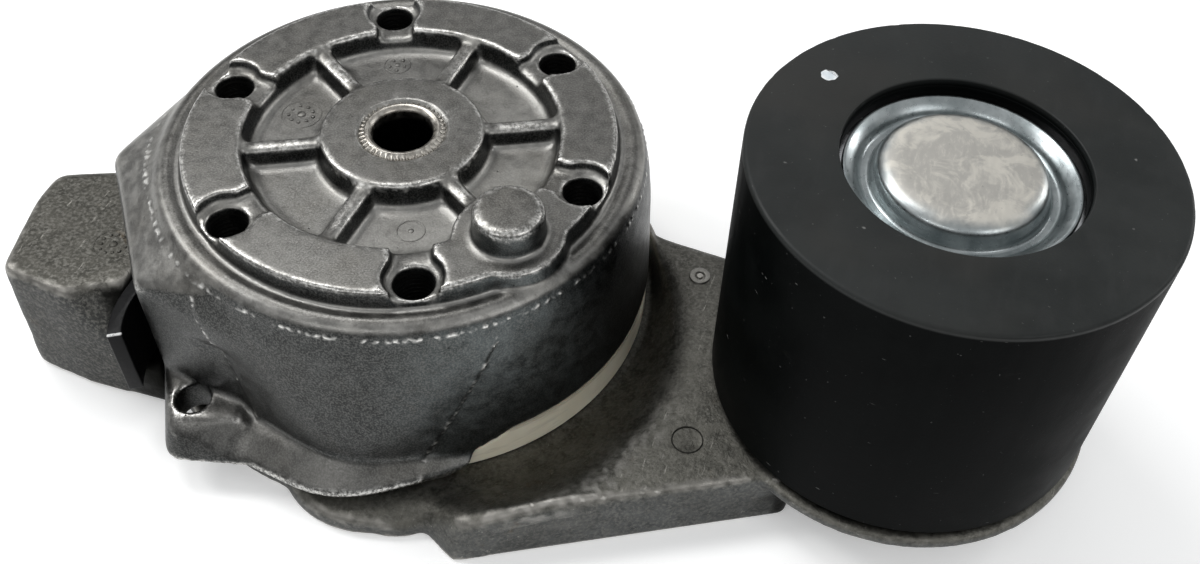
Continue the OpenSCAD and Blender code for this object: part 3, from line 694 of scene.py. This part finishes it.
def arm_extra(co, pairs, share):
    """A softer dish round the drum, a rounded foot at the front, and crumbs along the edges."""
    r = np.hypot(co[:, 0], co[:, 1])
    dish = smoothstep(r, 60.6, 64) * (1 - smoothstep(r, 84, 90)) * (co[:, 2] > -57)
    dish *= (co[:, 0] > 20) & (co[:, 1] < 31)
    top_line = (co[:, 0] - EDGE_POINT[0]) * EDGE_OUT[0] + (co[:, 1] - EDGE_POINT[1]) * EDGE_OUT[1]
    dish *= smoothstep(-top_line, 0.5, 5)
    co = relax(co, pairs, dish, max(6, int(200 * share**2)))
    foot = (co[:, 1] < -40) & (co[:, 0] > -20) & (co[:, 0] < 42) & (co[:, 2] > -59)
    foot &= (r > 60.5) & (top_line > -30)
    co = relax(co, pairs, foot * 0.8, max(4, int(40 * share**2)))
    crumbs = smoothstep(wave_noise(co, 0.7, 3.0) + 0.7 * wave_noise(co, 3.4, 7.0), 0.15, 0.6)
    near = np.exp(-((top_line / 0.6) ** 2)) * (np.abs(co[:, 2] - ARM_TOP) < 0.9) * crumbs
    flash_and_highlight = 0.9 * near * (co[:, 0] > 50)
    co[:, 2] += 0.12 * near
    # painted highlight: a speckled band along the dish's edge, kept with the flash
    painted_crest = across(co, DISH) - DISH_R + 1.6 * wave_noise(co, 6.0, 9.0)
    painted_crest_az = np.degrees(np.arctan2(co[:, 1] - DISH[1], co[:, 0] - DISH[0]))
    painted_crest = np.exp(-((painted_crest / 2.6) ** 2))
    painted_crest *= smoothstep(painted_crest_az, -78, -60) * (1 - smoothstep(painted_crest_az, -22, 6))
    speck = smoothstep(wave_noise(co, 0.9, 6.0) + 0.5 * wave_noise(co, 2.3, 1.0), -0.3, 0.7)
    flash_and_highlight = np.maximum(flash_and_highlight, 0.34 * painted_crest * speck * (co[:, 2] > -52) * smoothstep(co[:, 0], 42, 54))
    tail = (co[:, 0] < -50) & (co[:, 2] > -59)
    skin = 0.10 * wave_noise(co, 5.0) + 0.05 * wave_noise(co, 1.9, 4.0)
    co[:, 0] += skin * tail
    co[:, 1] += 0.8 * skin * tail
    flat = (co[:, 2] > -45) & (r > 78) & (co[:, 0] > 0)
    co[:, 2] += (0.04 * wave_noise(co, 3.0) - 0.04) * flat
    return co, np.clip(flash_and_highlight, 0, 1)


def add_blob(bm, place, size, flatness, segments, rings):
    """A flattened ball, at a place and of a size in millimetres."""
    size *= MM
    at = Matrix.Translation(Vector(place) * MM)
    shape = Matrix.Diagonal((size, size, size * flatness, 1))
    bmesh.ops.create_uvsphere(
        bm, u_segments=segments, v_segments=rings, radius=1.0, matrix=at @ shape
    )


def dot_ring(name, place, radius, dots, tube=0.32, seed=0):
    """A raised ring with blank dimple-like dots, in place of a foundry mark."""
    cx, cy, z = place
    bm = bmesh.new()
    steps, around = 64, 10
    rows = []
    for i in range(steps):
        a = 2 * math.pi * i / steps
        row = []
        for k in range(around):
            b = 2 * math.pi * k / around
            rr = radius + tube * math.cos(b)
            spot = (cx + rr * math.cos(a), cy + rr * math.sin(a), z + 0.55 * tube * math.sin(b))
            row.append(bm.verts.new(Vector(spot) * MM))
        rows.append(row)
    for i in range(steps):
        here, there = rows[i], rows[(i + 1) % steps]
        for k in range(around):
            w = (k + 1) % around
            bm.faces.new((here[k], there[k], there[w], here[w]))
    rng = np.random.default_rng(seed)
    for i in range(dots):
        a = 2 * math.pi * i / dots
        rr = radius * (0.62 + 0.06 * rng.uniform(-1, 1))
        size = 0.42 + 0.1 * rng.uniform()
        add_blob(bm, (cx + rr * math.cos(a), cy + rr * math.sin(a), z), size, 0.6, 12, 8)
    add_blob(bm, (cx, cy, z), radius * 0.22, 0.3, 20, 10)
    bmesh.ops.recalc_face_normals(bm, faces=bm.faces)
    mesh = bpy.data.meshes.new(name)
    for f in bm.faces:
        f.smooth = True
    bm.to_mesh(mesh)
    bm.free()
    set_attribute(mesh, "up", np.ones(len(mesh.vertices)))
    set_attribute(mesh, "edge", np.full(len(mesh.vertices), 0.12))
    return add_object(name, mesh)


def hole_threads():
    """Shallow thread-like ridges inside the six mounting holes."""
    pitch, top, depth = 1.25, -4.2, 10
    crest, root, back_r = HOLE_R - 0.14, HOLE_R - 0.02, HOLE_R + 0.25
    steps = 40
    ridges = []
    z = top
    while z > top - depth:
        ridges += [(root, z), (crest, z - pitch / 2)]
        z -= pitch
    outline = ridges + [(back_r, ridges[-1][1]), (back_r, top)]
    k = len(outline)
    verts, faces = [], []
    for hx, hy in hole_points():
        base = len(verts)
        for i in range(steps):
            a = 2 * math.pi * i / steps
            for r, z in outline:
                verts.append(((hx + r * math.cos(a)) * MM, (hy + r * math.sin(a)) * MM, z * MM))
        for i in range(steps):
            here, there = base + i * k, base + (i + 1) % steps * k
            for q in range(k):
                w = (q + 1) % k
                faces.append((here + q, there + q, there + w, here + w))
    mesh = bpy.data.meshes.new("hole_threads")
    mesh.from_pydata(verts, [], faces)
    bm = bmesh.new()
    bm.from_mesh(mesh)
    bmesh.ops.recalc_face_normals(bm, faces=bm.faces)
    bm.to_mesh(mesh)
    bm.free()
    return add_object("hole_threads", mesh)


# ------------------------------------------------------------------ other pieces


def staked_tube():
    """The pivot tube: its top is staked outwards over a ring of small teeth."""
    lo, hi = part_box("pivot_tube")
    bottom, top = lo.z / MM, hi.z / MM
    bore, outer, teeth = 7.0, 9.2, 44
    foot = hi.x / MM
    corners = [
        (bore, bottom + 0.6),
        (bore, top - 0.9),
        (bore + 0.9, top - 0.12),
        (bore + 1.5, top),
        (outer - 0.5, top - 0.15),
        (outer + 0.5, top - 0.7),
        (outer + 0.75, top - 0.95),
        (outer, top - 1.3),
        (outer, bottom + 0.7),
        (foot, bottom + 0.7),
        (foot, bottom),
        (bore + 0.5, bottom),
    ]
    radii = [0.2, 0.6, 0.3, 0.3, 0.3, 0.15, 0.1, 0.1, 0.2, 0.2, 0.3, 0.2]

    def bite(a, r, z):
        tooth = 0.5 + 0.5 * math.cos(teeth * a)
        rim = smoothstep(r, outer - 0.2, outer + 0.6) * (z > top - 1.5)
        return r + 0.42 * rim * (tooth - 0.5), z + rim * (0.38 * tooth - 0.25)

    return lathe("staked_tube", soften(corners, radii, 4), steps=teeth * 12, shape=bite)


def pulley_body():
    """The wide smooth pulley, with a slightly nicked upper rim."""
    lo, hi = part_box("pulley_shell")
    top, bottom = hi.z / MM, lo.z / MM
    rim = (hi.x - lo.x) / 2 / MM
    insert_r, lip_r, insert_top = 26.5, 25.5, top - 4.6
    recess_top = -29.4
    recess_r = insert_r + 6
    corners = [
        (insert_r, recess_top),
        (recess_r - 3, recess_top),
        (recess_r, recess_top - 3),
        (recess_r + 1, bottom),
        (rim, bottom),
        (rim, top),
        (lip_r, top),
        (lip_r, top - 1.7),
        (lip_r - 0.25, top - 1.8),
        (lip_r - 0.25, insert_top),
        (insert_r, insert_top),
    ]
    radii = [0, 0.8, 0.8, 0.5, 1.1, 0.95, 0.55, 0.1, 0.1, 0, 0]
    rng = np.random.default_rng(7)
    knots = rng.uniform(0.0, 1.0, CHIP_STEPS) ** 6

    def chips(a, r, z):
        i = int(a / (2 * math.pi) * CHIP_STEPS) % CHIP_STEPS
        nick = knots[i] * 0.06
        edge = np.exp(-(((r - rim + 0.3) ** 2 + (z - top + 0.3) ** 2) / 0.35))
        return r - nick * edge, z - nick * edge

    return lathe("pulley_body", soften(corners, radii, 6), PULLEY, steps=360, shape=chips)


def pressed_cap():
    """The zinc-plated dust cap: sloping rim, rounded groove and a flat-topped dome."""
    lo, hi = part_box("dust_cap")
    top = hi.z / MM
    rim_r = (hi.x - lo.x) / 2 / MM
    bore_r, t = 23.48, 0.9
    seat = 22.6
    outer = [
        (rim_r, seat + 0.35),
        (rim_r - 0.1, seat + 1.15),
        (rim_r - 0.7, seat + 1.2),
        (22.4, 22.95),
        (21.5, 22.1),
        (20.9, 21.0),
        (20.3, 20.55),
        (18.9, 20.5),
        (18.3, 21.1),
        (18.0, 22.7),
        (17.4, top - 1.35),
        (15.9, top - 0.42),
        (13.6, top - 0.04),
        (0.0, top),
    ]
    inner = [
        (0.0, top - t),
        (15.6, top - t),
        (16.9, 23.3),
        (17.3, 20.4),
        (18.2, 19.6),
        (bore_r - t, 19.6),
        (bore_r - t, 19.0),
        (bore_r, 19.0),
        (bore_r, seat),
        (rim_r - 0.2, seat),
    ]
    radii = [0.15, 0.25, 0.5, 1.2, 1.4, 0.9, 0.8, 0.7, 0.9, 1.8, 1.6, 1.6, 1.4, 0]
    radii += [0, 0.8, 1.0, 0.6, 0.4, 0.2, 0.2, 0.2, 0.2, 0.1]
    return lathe("pressed_cap", soften(outer + inner, radii, 5), PULLEY, steps=288)


def paint_dab():
    """A dab of marking paint on the pulley's face, with an uneven edge."""
    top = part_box("pulley_shell")[1].z / MM
    bm = bmesh.new()
    rng = np.random.default_rng(11)
    steps, rings = 56, 6
    turn = np.linspace(0, 2 * math.pi, steps, endpoint=False)
    wob = 1 + 0.05 * np.sin(3 * turn + 1) + 0.035 * np.sin(7 * turn)
    wob += rng.uniform(-0.015, 0.015, steps)
    centre = bm.verts.new(Vector((*PAINT_POS, top - 0.001)) * MM)
    rows = []
    for k in range(1, rings + 1):
        row = []
        for i in range(steps):
            a = 2 * math.pi * i / steps
            s = PAINT_R * k / rings * wob[i]
            rise = 0.012 * math.sin(math.pi * k / rings) - (0.05 if k == rings else 0.002)
            x, y = PAINT_POS[0] + s * math.cos(a), PAINT_POS[1] + s * 0.93 * math.sin(a)
            row.append(bm.verts.new(Vector((x, y, top + min(rise, 0.0))) * MM))
        rows.append(row)
    for i in range(steps):
        j = (i + 1) % steps
        bm.faces.new((centre, rows[0][i], rows[0][j]))
        for k in range(rings - 1):
            bm.faces.new((rows[k][i], rows[k + 1][i], rows[k + 1][j], rows[k][j]))
    bmesh.ops.recalc_face_normals(bm, faces=bm.faces)
    mesh = bpy.data.meshes.new("paint_dab")
    bm.to_mesh(mesh)
    bm.free()
    return add_object("paint_dab", mesh)


def bevelled(name, node, width, segments=3, angle=35):
    """Copies a CAD node and rounds its sharp edges."""
    ob = add_object(name, NODES[node].data.copy())
    bm = bmesh.new()
    bm.from_mesh(ob.data)
    bmesh.ops.remove_doubles(bm, verts=bm.verts, dist=1e-6)
    flat = math.radians(0.5)
    bmesh.ops.dissolve_limit(bm, angle_limit=flat, verts=bm.verts, edges=bm.edges)
    limit = math.radians(angle)
    sharp = [e for e in bm.edges if len(e.link_faces) == 2 and e.calc_face_angle() > limit]
    bmesh.ops.bevel(
        bm, geom=sharp, offset=width * MM, segments=segments, profile=0.5, affect="EDGES"
    )
    for f in bm.faces:
        f.smooth = True
    bm.to_mesh(ob.data)
    bm.free()
    ob.data.set_sharp_from_angle(angle=math.radians(40))
    return ob


# ------------------------------------------------------------------ build

case = recast("case_casting", "spring_case", 0.55, 16, case_mask, case_extra)
case_mat = cast_case_material()
finish_piece(case, "case", case_mat, ["spring_case"])

arm = recast("arm_casting", "tensioner_arm", 0.6, 18, arm_mask, arm_extra, arm_painted_shade)
arm_mat = cast_arm_material()
finish_piece(arm, "arm", arm_mat, ["tensioner_arm"])

for name, centre, radius, dots, seed in (
    ("case_mark_left", (-27.7, 3.1), 4.7, 9, 1),
    ("case_mark_front", (11.6, -24.3), 3.1, 0, 2),
    ("case_mark_back", (-13.3, 27.5), 3.2, 5, 3),
):
    mark = dot_ring(name, (*centre, POCKET_Z + 0.02), radius, dots, 0.16, seed)
    finish_piece(mark, "case", case_mat)
mark = dot_ring("arm_mark_tail", TAIL_MARK, 4.6, 11, 0.22, 4)
finish_piece(mark, "arm", arm_mat)

# outlines of the arm's round marks: radius, and height over the arm's top
RING_OUTLINE = ((1.25, -0.4), (1.25, 0.30), (1.6, 0.46), (2.6, 0.46), (2.95, -0.4))
BOSS_OUTLINE = ((0.0, -0.4), (0.9, -0.4), (0.8, 0.38), (0.0, 0.42))
EJECTOR_OUTLINE = ((3.42, -0.5), (3.45, 0.04), (3.75, 0.04), (3.78, -0.5))
# painted shade: the ejector's recessed ring is darkened
for name, place, outline, soft, flash_and_highlight, painted_shade in (
    ("arm_mark_ring", RING_MARK, RING_OUTLINE, 0.12, 0.22, 0.0),
    ("arm_mark_boss", RING_MARK, BOSS_OUTLINE, 0.1, 0.5, 0.0),
    ("arm_mark_ejector", EJECTOR, EJECTOR_OUTLINE, 0.04, 0.0, 0.8),
):
    outline = [(r, ARM_TOP + h) for r, h in outline]
    mark = lathe(name, soften(outline, soft, 2), place, 96)
    count = len(mark.data.vertices)
    for key, value in (("up", 0.9), ("edge", 0.1), ("flash_and_highlight", flash_and_highlight), ("painted_shade", painted_shade)):
        set_attribute(mark.data, key, np.full(count, value))
    finish_piece(mark, "arm", arm_mat)

threads = hole_threads()
# painted shade: the threads are dark inside the holes
thread_mat = steel_material("thread_shade", (0.024, 0.0235, 0.022), 0.55, 0.4)
finish_piece(threads, "case", thread_mat)

tube = staked_tube()
finish_piece(tube, "case", tube_material(), ["pivot_tube"])

spring = bevelled("spring_strip", "flat_spring", 0.35)
finish_piece(spring, "case", spring_material(), ["flat_spring"])

pulley = pulley_body()
finish_piece(pulley, "pulley", pulley_material(), ["pulley_shell"])
cap = pressed_cap()
finish_piece(cap, "pulley", cap_material(), ["dust_cap"])
dab = paint_dab()
finish_piece(dab, "pulley", paint_material())

bronze = steel_material("bush_bronze", (0.42, 0.30, 0.15), 0.38, 0.3)
bearing = steel_material("bearing_steel", (0.58, 0.585, 0.60), 0.2, 0.25)
plated = steel_material("plated_washer", (0.46, 0.46, 0.45), 0.32, 0.35)
dark = steel_material("dark_bolt", (0.09, 0.09, 0.095), 0.42, 0.4)
cage_mat = steel_material("cage_brass", (0.60, 0.43, 0.18), 0.3, 0.25)
seal = Mat("seal_rubber", rough=0.6)
seal_grain = seal.noise(0.5, 3)
seal_mat = seal.done(
    seal.mix(seal.ramp(seal_grain, 0.3, 0.7), (0.010, 0.010, 0.010), (0.022, 0.021, 0.020)),
    seal.ramp(seal_grain, 0.3, 0.7, 0.5, 0.7),
    seal.bump(seal_grain, 0.06, 0.5),
)
FINISH = {
    "damping_ring": nylon_material(),
    "upper_thrust_washer": bronze,
    "retaining_washer": plated,
    "upper_pivot_bush": bronze,
    "lower_pivot_bush": bronze,
    "bearing_spacer": bearing,
    "upper_inner_ring": bearing,
    "lower_inner_ring": bearing,
    "upper_outer_ring": bearing,
    "lower_outer_ring": bearing,
    "upper_balls": bearing,
    "lower_balls": bearing,
    "hub_insert": bearing,
    "pulley_bolt": dark,
    "retaining_ring": dark,
    "bolt_washer": plated,
    "dust_shield": plated,
    "upper_cage": cage_mat,
    "lower_cage": cage_mat,
    "upper_seals": seal_mat,
    "lower_seals": seal_mat,
}
for node, material in FINISH.items():
    slots = NODES[node].data.materials
    if len(slots):
        for i in range(len(slots)):
            slots[i] = material
    else:
        slots.append(material)

# ------------------------------------------------------------------ stage

floor_z = CAD_BOX[0].z
bpy.ops.mesh.primitive_plane_add(size=8, location=(0.03, 0, floor_z))
floor = bpy.context.object
floor.name = "floor"
floor.data.materials.append(floor_material())

world = bpy.data.worlds.new("studio")
world.use_nodes = True
wt = world.node_tree
wco = wt.nodes.new("ShaderNodeTexCoord").outputs["Generated"]
sep = wt.nodes.new("ShaderNodeSeparateXYZ")
wt.links.new(wco, sep.inputs[0])
fade = wt.nodes.new("ShaderNodeMapRange")
fade.interpolation_type = "SMOOTHSTEP"
fade.inputs["From Min"].default_value = -0.05
fade.inputs["From Max"].default_value = 0.75
fade.inputs["To Min"].default_value = 0.10
fade.inputs["To Max"].default_value = 0.58
wt.links.new(sep.outputs[2], fade.inputs["Value"])
wt.links.new(fade.outputs[0], wt.nodes["Background"].inputs["Strength"])
wt.nodes["Background"].inputs["Color"].default_value = (0.97, 0.985, 1.0, 1)
SCENE.world = world


def softbox(name, place, aim, size, power, color=(1, 1, 1)):
    data = bpy.data.lights.new(name, "AREA")
    data.shape = "RECTANGLE"
    data.size, data.size_y = size
    data.energy = power
    data.color = color
    ob = bpy.data.objects.new(name, data)
    SCENE.collection.objects.link(ob)
    ob.location = place
    ob.rotation_euler = (Vector(aim) - Vector(place)).to_track_quat("-Z", "Y").to_euler()
    return ob


softbox("overhead", (-0.42, 0.30, 0.95), (0.0, 0.0, 0.0), (0.46, 0.34), 4.5)
softbox("rear_strip", (-0.10, 0.95, 0.50), (0.06, 0.0, 0.0), (0.6, 0.12), 0.6)
softbox("left_box", (-0.95, 0.02, 0.85), (0.0, 0.0, 0.0), (0.30, 0.42), 4.6)
softbox("right_fill", (0.75, -0.40, 0.60), (0.03, -0.02, -0.02), (0.45, 0.40), 1.3)
softbox("right_strip", (0.76, 0.66, 0.42), (0.0, 0.0, 0.0), (0.10, 0.45), 1.5)
softbox("front_strip", (-0.16, -0.92, 0.76), (0.0, 0.0, 0.0), (0.60, 0.07), 1.3)

CAM_PLACE = (0.10295, -0.19779, 0.20004)
CAM_AZIMUTH, CAM_ELEVATION, CAM_ROLL = 13.0, 49.3, 3.82
CAM_LENS, CAM_SHIFT = 37.935, (-0.0279, 0.0054)
a, e = math.radians(CAM_AZIMUTH), math.radians(CAM_ELEVATION)
back = Vector((math.sin(a) * math.cos(e), -math.cos(a) * math.cos(e), math.sin(e)))
cam_data = bpy.data.cameras.new("camera")
cam_data.sensor_width = 36.0
cam_data.lens = CAM_LENS
cam_data.shift_x, cam_data.shift_y = CAM_SHIFT
cam_data.clip_start = 0.01
cam_data.clip_end = 20
camera = bpy.data.objects.new("camera", cam_data)
SCENE.collection.objects.link(camera)
camera.location = CAM_PLACE
turn = (-back).to_track_quat("-Z", "Y").to_matrix().to_4x4()
turn = turn @ Matrix.Rotation(math.radians(CAM_ROLL), 4, "Z")
camera.rotation_euler = turn.to_euler()
SCENE.camera = camera
SCENE.view_settings.view_transform = "Standard"

bpy.context.view_layer.update()
